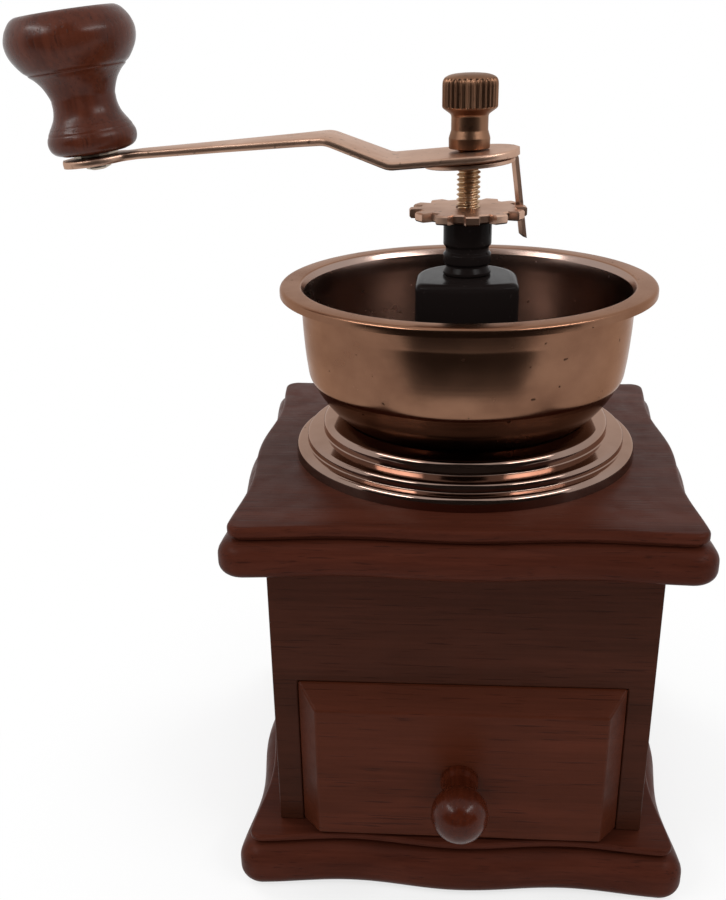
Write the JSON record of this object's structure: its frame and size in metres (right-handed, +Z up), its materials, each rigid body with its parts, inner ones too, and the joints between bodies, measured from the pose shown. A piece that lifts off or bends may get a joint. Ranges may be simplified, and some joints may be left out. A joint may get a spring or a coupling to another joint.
{
  "type": "hand coffee grinder",
  "caption": "Hand-cranked box grinder: moulded wooden box with a drawer, open metal hopper, burr set under a bridge, tilted crank arm and turned wooden knobs.",
  "frame": {"origin": "centre of the base's underside, on the spindle's axis", "axes": "+Z up along the spindle; -Y is the front, where the drawer opens; the crank points to -X at rest"},
  "size_m": [0.1843, 0.1437, 0.2337],
  "materials": {
    "lid_wood": "satin varnish, reddish mahogany",
    "body_wood": "satin varnish, dark mahogany",
    "drawer_wood": "satin varnish, mahogany",
    "turned_wood": "gloss varnish, turned",
    "plain_wood": "bare sanded wood",
    "bronze": "satin bronze plating",
    "dark_bronze": "satin dark bronze plating",
    "black_enamel": "gloss black enamel",
    "steel": "zinc plated",
    "spindle_steel": "yellow zinc plated, threaded",
    "burr_iron": "cast",
    "bush_bronze": "machined"
  },
  "bodies": {
    "mill": {"base_plate": "lid_wood", "lid_board": "lid_wood", "front_panel": "body_wood", "back_panel": "body_wood", "left_panel": "body_wood", "right_panel": "body_wood", "base_screw_1": "steel", "base_screw_2": "steel", "base_screw_3": "steel", "base_screw_4": "steel", "hopper_collar": "bronze", "hopper_bowl": "bronze", "ring_burr": "burr_iron", "bridge": "black_enamel", "bearing_tube": "black_enamel", "upper_bush": "bush_bronze", "lower_bush": "bush_bronze", "bridge_screw_front": "steel", "bridge_screw_rear": "steel", "hopper_screw_left": "steel", "hopper_screw_right": "steel", "thrust_washer": "steel", "burr_spring": "steel"},
    "drawer": {"drawer_front": "drawer_wood", "drawer_left_side": "plain_wood", "drawer_right_side": "plain_wood", "drawer_back": "plain_wood", "drawer_bottom": "plain_wood", "drawer_knob": "turned_wood", "drawer_knob_screw": "steel"},
    "disc": {"grind_disc": "bronze"},
    "crank": {"spindle": "spindle_steel", "cone_burr": "burr_iron", "burr_washer": "steel", "burr_nut": "steel", "cap_nut": "dark_bronze", "crank_arm": "bronze", "lock_clip": "bronze", "knob_pin": "steel"},
    "knob": {"crank_knob": "turned_wood", "knob_washer": "steel"}
  },
  "joints": [
    {"name": "drawer_slide", "type": "slide", "parent": "mill", "child": "drawer", "axis": [0, -1, 0], "range_m": [0, 0.075]},
    {"name": "crank_turn", "type": "hinge", "parent": "mill", "child": "disc", "pos_m": [0, 0, 0.18], "axis": [0, 0, 1], "continuous": true},
    {"name": "grind_adjust", "type": "slide", "parent": "disc", "child": "crank", "axis": [0, 0, 1], "range_m": [-0.002, 0], "deforming": ["burr_spring"]},
    {"name": "knob_spin", "type": "hinge", "parent": "crank", "child": "knob", "pos_m": [-0.10042, 0, 0.19644], "axis": [-0.1196, 0, 0.9928], "continuous": true}
  ]
}
